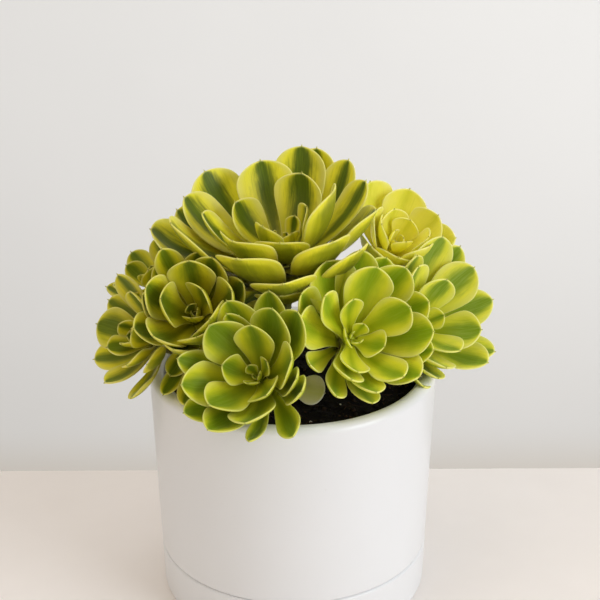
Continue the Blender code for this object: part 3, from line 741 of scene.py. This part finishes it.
def rosette_leaf(name, rosette, number):
    """The leaf with this number, 0 being the youngest, where the CAD has it."""
    turn, lift, stretch = filled(rosette.strays.get(number, ()), (0, 0, 1))
    outward, axis = heading(rosette, number, turn)
    youngest, oldest = rosette.rise
    rise = oldest + (youngest - oldest) * math.exp(-((number / rosette.fade) ** RISE_POWER)) + lift
    rise -= DROOP * max(0, number - (rosette.leaves - rosette.droop) + 1)
    length = rosette.length * (1 - (1 - rosette.share) * math.exp(-number / rosette.growth)) * stretch
    reach = LEAF_ROOT + CORE_SWELL * min(number, CORE_SWELL_LEAVES)
    foot = from_rim(*rosette.apex) - rosette.step * number * MM * axis + reach * outward
    breadth, roll, depth = filled(rosette.shapes.get(number, ()), (1, 0, 1))
    half_width = length * half_width_share(rosette, number) * breadth * MM
    rng = random.Random(f"{name} {number}")
    form = FORMS[name]._replace(cup=FORMS[name].cup * depth)
    upward = rolled(axis, outward, roll)
    return leaf_mesh(foot, outward, upward, length * MM, half_width, math.radians(rise), form, rng)


def joined(meshes):
    """Several leaves as one mesh's points, faces and fields."""
    offset, faces = 0, []
    for mesh in meshes:
        faces += [[corner + offset for corner in face] for face in mesh["faces"]]
        offset += len(mesh["points"])
    keys = [key for key in meshes[0] if key != "faces"]
    made = {key: np.concatenate([mesh[key] for mesh in meshes]) for key in keys}
    made["faces"] = faces
    return made


def leaf_piece(name, mesh, materials):
    fields = {key: mesh[key] for key in ("leaf_mm", "leaf_edge", "leaf_tint")}
    return new_piece(name, mesh["points"], mesh["faces"], materials, fields, uv=mesh["uv"])


# ---- stems


def tube_mesh(path, radii, sides, rough, shift):
    """A closed tube along a path. rough is how uneven its skin is, and shift picks the pattern."""
    path = [Vector(point) for point in path]
    points, previous = [], Vector((1, 0, 0))
    for number, place in enumerate(path):
        ahead = (path[min(number + 1, len(path) - 1)] - path[max(number - 1, 0)]).normalized()
        first = (previous - previous.dot(ahead) * ahead).normalized()
        second = ahead.cross(first)
        previous = first
        for cosine, sine in circle(1, sides):
            direction = cosine * first + sine * second
            uneven = noise.noise((place + direction * radii[number]) * 260 + Vector((shift, 0, 0)))
            points.append(place + direction * radii[number] * (1 + rough * uneven))
    faces = []
    for ring in range(len(path) - 1):
        for side in range(sides):
            beside = (side + 1) % sides
            low, high = ring * sides, (ring + 1) * sides
            faces.append([low + side, low + beside, high + beside, high + side])
    faces.append(list(range(sides))[::-1])
    faces.append([(len(path) - 1) * sides + side for side in range(sides)])
    return points, faces


def core_depth(rosette):
    return (rosette.step * rosette.joined + CORE_END) * MM


def bezier(handles, steps):
    points = []
    for step in range(steps + 1):
        t = step / steps
        weights = ((1 - t) ** 3, 3 * t * (1 - t) ** 2, 3 * t * t * (1 - t), t**3)
        points.append(sum((weight * handle for weight, handle in zip(weights, handles)), Vector()))
    return points


def build_stem(name, rosette, look):
    axis = axes_of(rosette)[2]
    soil_top = -SOIL_DROP / MM
    root = from_rim(*rosette.root, soil_top - ROOT_DEPTH / MM)
    collar = from_rim(*rosette.root, soil_top + COLLAR_HEIGHT)
    crown = from_rim(*rosette.apex) - (core_depth(rosette) + 2 * GAP) * axis
    reach = (crown - collar).length * STEM_BEND
    handles = (collar, collar + Vector((0, 0, reach)), crown - reach * axis, crown)
    path = [root + (collar - root) * step / ROOT_STEPS for step in range(ROOT_STEPS)]
    path += bezier(handles, STEM_STEPS)
    radii = []
    for number in range(len(path)):
        share = number / (len(path) - 1)
        scar = SCAR_HEIGHT * max(0, math.cos(number * SCAR_PACE)) ** 3
        radii.append(STEM_RADIUS * (0.85 + 0.15 * share) + scar + (STEM_TOP_RADIUS - STEM_RADIUS) * share**4)
    points, faces = tube_mesh(path, radii, STEM_SIDES, 0.10, rosette.phase)
    piece = new_piece(f"{name}_stem_skin", points, faces, [look])
    stand_for(piece, "bark", f"{name}_stem")


def build_rosette(name, rosette, look, bark):
    """The heart with its young leaves as one piece, then each older leaf as a piece of its own."""
    axis = axes_of(rosette)[2]
    apex = from_rim(*rosette.apex)
    depth = core_depth(rosette)
    young = [rosette_leaf(name, rosette, number) for number in range(rosette.joined)]
    young = joined(young + [bud_leaf(name, rosette, -number) for number in range(1, BUD_LEAVES + 1)])
    ends = [apex + CORE_TOP * axis - depth * share * axis for share in CORE_DEPTHS]
    radii = [CORE_RADIUS * share for share in CORE_SHARES]
    core, core_faces = tube_mesh(ends[::-1], radii[::-1], STEM_SIDES, 0.06, rosette.phase)
    offset, count = len(young["points"]), len(core)
    leaf_count = len(young["faces"])
    young["points"] = np.concatenate([young["points"], np.array(core)])
    young["faces"] = young["faces"] + [[corner + offset for corner in face] for face in core_faces]
    plain = {"uv": (0.5, 0.3), "leaf_mm": (0, 5, 1), "leaf_edge": (5, 20, 0.5), "leaf_tint": [0.5] * 3}
    for key, value in plain.items():
        young[key] = np.concatenate([young[key], np.tile(value, (count, 1))])
    heart = leaf_piece(f"{name}_heart_leaves", young, [look, bark])
    for polygon in heart.data.polygons[leaf_count:]:
        low = (polygon.center - apex).dot(axis) < -CORE_BARK * depth
        polygon.material_index = 1 if low else 0
    stand_for(heart, "leaf", f"{name}_heart")
    for number in range(rosette.joined, rosette.leaves):
        label = f"{name}_leaf_{number + 1:02d}"
        leaf = leaf_piece(f"{label}_blade", rosette_leaf(name, rosette, number), [look])
        stand_for(leaf, "leaf", label)


def build_fallen_leaf(look):
    foot, tip = from_rim(*FALLEN_FOOT), from_rim(*FALLEN_TIP)
    length = (tip - foot).length
    outward = (tip - foot).normalized()
    upward = rolled(Vector((0, 0, 1)), outward, FALLEN_ROLL)
    form = Form(8, 1.4, 0.22, 0.1, 0.0, 0.66)
    rng = random.Random("fallen")
    mesh = leaf_mesh(foot, outward, upward, length, length * FALLEN_BREADTH, 0, form, rng)
    stand_for(leaf_piece("fallen_leaf_blade", mesh, [look]), "pale_leaf", "fallen_leaf")


# ---- pot, saucer, soil


def arc(centre, radius, start, end, steps):
    points = []
    for step in range(steps + 1):
        angle = math.radians(start + (end - start) * step / steps)
        points.append((centre[0] + radius * math.cos(angle), centre[1] + radius * math.sin(angle)))
    return points


def turned(name, profile, look, slot, node, closed):
    """A body of revolution from a profile. An open profile starts and ends on the axis."""
    points, rings = [], []
    for x, z in profile:
        if x < 1e-9:
            rings.append([len(points)] * TURNED_STEPS)
            points.append((0, 0, z))
            continue
        rings.append(list(range(len(points), len(points) + TURNED_STEPS)))
        points += [(*place, z) for place in circle(x, TURNED_STEPS)]
    faces = []
    pairs = list(zip(rings, rings[1:])) + ([(rings[-1], rings[0])] if closed else [])
    for upper, lower in pairs:
        for step in range(TURNED_STEPS):
            beside = (step + 1) % TURNED_STEPS
            faces.append([upper[step], lower[step], lower[beside], upper[beside]])
    piece = new_piece(name, points, kept_faces(faces), [look])
    piece.data.set_sharp_from_angle(angle=SHARP_ABOVE)
    stand_for(piece, slot, node)


def points_between(start, end, steps):
    start, end = np.array(start), np.array(end)
    return [tuple(start + (end - start) * step / steps) for step in range(1, steps)]


def build_saucer(look):
    top = SAUCER_HEIGHT - GAP
    outer_top, outer_foot = outer_radius(top), outer_radius(0)
    upper = arc((outer_top - EDGE_ROUND, top - EDGE_ROUND), EDGE_ROUND, 90, 0, EDGE_STEPS)
    lower = arc((outer_foot - EDGE_ROUND, EDGE_ROUND), EDGE_ROUND, 0, -90, EDGE_STEPS)
    basin = [(0, BASIN_FLOOR), (BASIN_RADIUS - EDGE_ROUND, BASIN_FLOOR)]
    basin += arc((BASIN_RADIUS - EDGE_ROUND, BASIN_FLOOR + EDGE_ROUND), EDGE_ROUND, -70, 0, 3)
    basin += arc((BASIN_RADIUS + EDGE_ROUND, top - EDGE_ROUND), EDGE_ROUND, 180, 90, 4)
    profile = basin + upper + points_between(upper[-1], lower[0], 6) + lower + [(0, 0)]
    turned("saucer_glazed", profile, look, "glaze", "saucer", closed=False)


def build_pot(look):
    inner_drop = RIM_RADIUS - WALL
    rim_inside = (inner_drop + RIM_ROUND, RIM_HEIGHT - RIM_ROUND)
    rim_outside = (RIM_RADIUS - RIM_ROUND, RIM_HEIGHT - RIM_ROUND)
    floor_top = SAUCER_HEIGHT + POT_FLOOR
    inner_foot = outer_radius(floor_top) - WALL
    seam = outer_radius(SAUCER_HEIGHT)
    upper = arc(rim_outside, RIM_ROUND, 90, 0, RIM_STEPS)
    lower = arc((seam - EDGE_ROUND, SAUCER_HEIGHT + EDGE_ROUND), EDGE_ROUND, 0, -90, EDGE_STEPS)
    profile = upper + points_between(upper[-1], lower[0], 20) + lower
    profile += [(FOOT_RADIUS, SAUCER_HEIGHT), (FOOT_RADIUS, SAUCER_HEIGHT - FOOT_DEPTH)]
    profile += [(DRAIN_RADIUS, SAUCER_HEIGHT - FOOT_DEPTH), (DRAIN_RADIUS, floor_top)]
    profile += [(inner_foot - WALL, floor_top), (inner_foot, floor_top + WALL)]
    profile += points_between((inner_foot, floor_top + WALL), (inner_drop, RIM_HEIGHT - RIM_ROUND), 8)
    profile += arc(rim_inside, RIM_ROUND, 180, 90, RIM_STEPS)[:-1]
    turned("pot_glazed", profile, look, "glaze", "pot", closed=True)


def soil_level(x, y):
    """The height of the uneven soil at a place."""
    radius = math.hypot(x, y)
    edge = outer_radius(RIM_HEIGHT - SOIL_DROP) - WALL - GAP
    level = RIM_HEIGHT - SOIL_DROP + SOIL_CROWN * max(0, 1 - (radius / edge) ** 2)
    rough = noise.fractal(Vector((x, y, 0)) * 90, 1.0, 2.1, 5)
    fine = noise.noise(Vector((x, y, 0.3)) * 620)
    return level + SOIL_ROUGH * rough + SOIL_GRAIN * fine


def build_soil(look):
    edge = outer_radius(RIM_HEIGHT - SOIL_DROP) - WALL - 2 * GAP
    bottom = SAUCER_HEIGHT + POT_FLOOR + GAP
    lower = outer_radius(bottom) - WALL - GAP
    rings, sides = SOIL_RINGS, SOIL_SIDES
    points = [(0, 0, soil_level(0, 0))]
    for ring in range(1, rings + 1):
        points += [(x, y, soil_level(x, y)) for x, y in circle(edge * ring / rings, sides)]
    for radius, height in ((lower, bottom + WALL), (lower - WALL - GAP, bottom)):
        points += [(x, y, height) for x, y in circle(radius, sides)]
    points.append((0, 0, bottom))
    faces = [[0, 1 + side, 1 + (side + 1) % sides] for side in range(sides)]
    for ring in range(rings + 1):
        near, far = 1 + ring * sides, 1 + (ring + 1) * sides
        for side in range(sides):
            beside = (side + 1) % sides
            faces.append([near + side, far + side, far + beside, near + beside])
    last = 1 + (rings + 1) * sides
    centre = len(points) - 1
    faces += [[last + side, centre, last + (side + 1) % sides] for side in range(sides)]
    piece = new_piece("soil_surface", points, faces, [look])
    stand_for(piece, "earth", "soil")


def bit_shape(centre, size, squash, rng):
    """One crumb: an octahedron split once, its points pushed in and out."""
    corners = [Vector(corner) for corner in
               ((1, 0, 0), (-1, 0, 0), (0, 1, 0), (0, -1, 0), (0, 0, 1), (0, 0, -1))]
    sides = [(0, 2, 4), (2, 1, 4), (1, 3, 4), (3, 0, 4), (2, 0, 5), (1, 2, 5), (3, 1, 5), (0, 3, 5)]
    middles, faces = {}, []

    def middle(first, second):
        key = (min(first, second), max(first, second))
        if key not in middles:
            middles[key] = len(corners)
            corners.append((corners[first] + corners[second]).normalized())
        return middles[key]

    for a, b, c in sides:
        ab, bc, ca = middle(a, b), middle(b, c), middle(c, a)
        faces += [[a, ab, ca], [b, bc, ab], [c, ca, bc], [ab, bc, ca]]
    angle = rng.uniform(0, TURN)
    turn = Matrix.Rotation(angle, 3, Vector([rng.gauss(0, 1) for _ in range(3)]))
    points = []
    for corner in corners:
        pushed = corner * rng.uniform(0.7, 1.15)
        pushed.z *= squash
        points.append(Vector(centre) + size * (turn @ pushed))
    return points, faces


def build_crumbs(look):
    """Peat crumbs, brown fibres and a few white perlite grains lying on the soil."""
    rng = random.Random("crumbs")
    reach = outer_radius(RIM_HEIGHT - SOIL_DROP) - WALL - 3 * MM
    points, faces, own = [], [], []

    def add(shape, shade, pale):
        offset = len(points)
        points.extend(shape[0])
        faces.extend([[corner + offset for corner in face] for face in shape[1]])
        own.extend([(shade, pale, 0)] * len(shape[0]))

    def somewhere(reach):
        radius, angle = reach * math.sqrt(rng.random()), rng.uniform(0, 2 * math.pi)
        return radius * math.cos(angle), radius * math.sin(angle)

    for _ in range(CRUMBS):
        x, y = somewhere(reach)
        size = MM * rng.choice(CRUMB_SIZES)
        shape = bit_shape((x, y, soil_level(x, y) + 0.3 * size), size, rng.uniform(0.4, 0.9), rng)
        add(shape, rng.random() ** 4, 0)
    for number in range(PERLITE_GRAINS):
        x, y = somewhere(reach)
        if number == 0:
            x, y = SHOWN_GRAIN
        size = MM * rng.uniform(0.6, 1.0)
        add(bit_shape((x, y, soil_level(x, y) + 0.4 * size), size, 0.8, rng), 0, 1)
    for _ in range(FIBRES):
        x, y = somewhere(reach * 0.95)
        bearing, length = rng.uniform(0, TURN), rng.uniform(3, 8) * MM
        path = []
        for step in range(FIBRE_STEPS + 1):
            share = step / FIBRE_STEPS
            px = x + length * share * math.cos(bearing + 0.8 * share)
            py = y + length * share * math.sin(bearing + 0.8 * share)
            path.append((px, py, soil_level(px, py) + 0.25 * MM))
        thin = [FIBRE_RADIUS * (1 - 0.5 * step / FIBRE_STEPS) for step in range(FIBRE_STEPS + 1)]
        add(tube_mesh(path, thin, 6, 0.1, bearing), rng.uniform(0.5, 1.0), 0)
    piece = new_piece("soil_crumbs", points, faces, [look], {"bit_own": own}, smooth=False)
    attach(piece, "root")


# ---- stage, lights, camera


def plane(name, half, near, far, look):
    """A flat piece between two lines along X, each given by its Y and Z."""
    corners = [(-half, *near), (half, *near), (half, *far), (-half, *far)]
    piece = new_piece(name, corners, [[0, 1, 2, 3]], [look], smooth=False)


def build_stage():
    table = stage_material("table", TABLE_COLOUR, 30.0)
    # the backdrop gets painted shade low down, by the table's edge
    wall = stage_material("wall", BACKDROP_COLOUR, 6.0, BACKDROP_SHADE_COLOUR)
    back = (TABLE_BACK, 0)
    plane("floor", TABLE_HALF, (TABLE_FRONT, 0), back, table)
    plane("floor_edge", TABLE_HALF, back, (TABLE_BACK, -TABLE_THICK), table)
    plane("backdrop", BACKDROP_HALF, (BACKDROP_AT, BACKDROP_LOW), (BACKDROP_AT, BACKDROP_HIGH), wall)


def area_light(name, place, aim, size, power, colour, spread=180):
    data = bpy.data.lights.new(name, "AREA")
    data.shape = "RECTANGLE"
    data.size, data.size_y = size
    data.energy = power
    data.color = colour
    data.spread = math.radians(spread)
    made = bpy.data.objects.new(name, data)
    made.location = place
    made.rotation_euler = (Vector(aim) - Vector(place)).to_track_quat("-Z", "Y").to_euler()
    bpy.context.scene.collection.objects.link(made)


def build_lights():
    middle = (0, 0, 0.13)
    area_light("key", (1.25, -0.9, 0.75), middle, (0.9, 0.9), 12.3, (0.895, 0.955, 1.02))
    area_light("fill", (-0.8, -0.8, 1.5), middle, (1, 1), 2.2, (1, 0.66, 0.34))
    area_light("top", (-0.15, 0.15, 1.5), middle, (1, 0.8), 4, (1, 1, 1))
    area_light("wall_wash", (0.4, 0.65, 1.2), (0.3, 1.3, -0.8), (2.8, 0.3), 9.2, (0.99, 0.99, 0.99), 70)
    area_light("side_wash", (1.2, 0.6, 0.2), (0.8, 1.3, -0.5), (1.6, 0.6), 1.5, (1, 0.99, 0.975), 100)
    world = bpy.data.worlds.new("room")
    bpy.context.scene.world = world
    world.use_nodes = True
    background = world.node_tree.nodes["Background"]
    background.inputs["Color"].default_value = (1, 0.95, 0.88, 1)
    background.inputs["Strength"].default_value = 0.51


def build_camera():
    pitch, roll = math.radians(23.65), math.radians(-0.29)
    distance, shift_x, shift_y = 788 * MM, -3.88 * MM, -32.48 * MM
    forward = Vector((0, math.cos(pitch), -math.sin(pitch)))
    right, up = Vector((1, 0, 0)), Vector((0, math.sin(pitch), math.cos(pitch)))
    level, tip = math.cos(roll), math.sin(roll)
    right, up = level * right + tip * up, level * up - tip * right
    place = from_rim(0, 0, 0) - distance * forward - shift_x * right - shift_y * up
    data = bpy.data.cameras.new("camera")
    data.lens, data.sensor_width = 90, 36
    data.clip_start = 0.01
    made = bpy.data.objects.new("camera", data)
    bpy.context.scene.collection.objects.link(made)
    turn = Matrix((right, up, -forward)).transposed().to_4x4()
    made.matrix_world = Matrix.Translation(place) @ turn
    bpy.context.scene.camera = made


build_camera()
build_stage()
build_lights()

glaze = glaze_material()
bark = bark_material()
build_saucer(glaze)
build_pot(glaze)
build_soil(earth_material())
build_crumbs(crumb_material())
for name, rosette in ROSETTES.items():
    look = leaf_material(f"{name}_leaf", LOOKS[name])
    build_stem(name, rosette, bark)
    build_rosette(name, rosette, look, bark)
build_fallen_leaf(leaf_material("fallen", FALLEN_LOOK))

bpy.context.scene.view_settings.view_transform = "Standard"
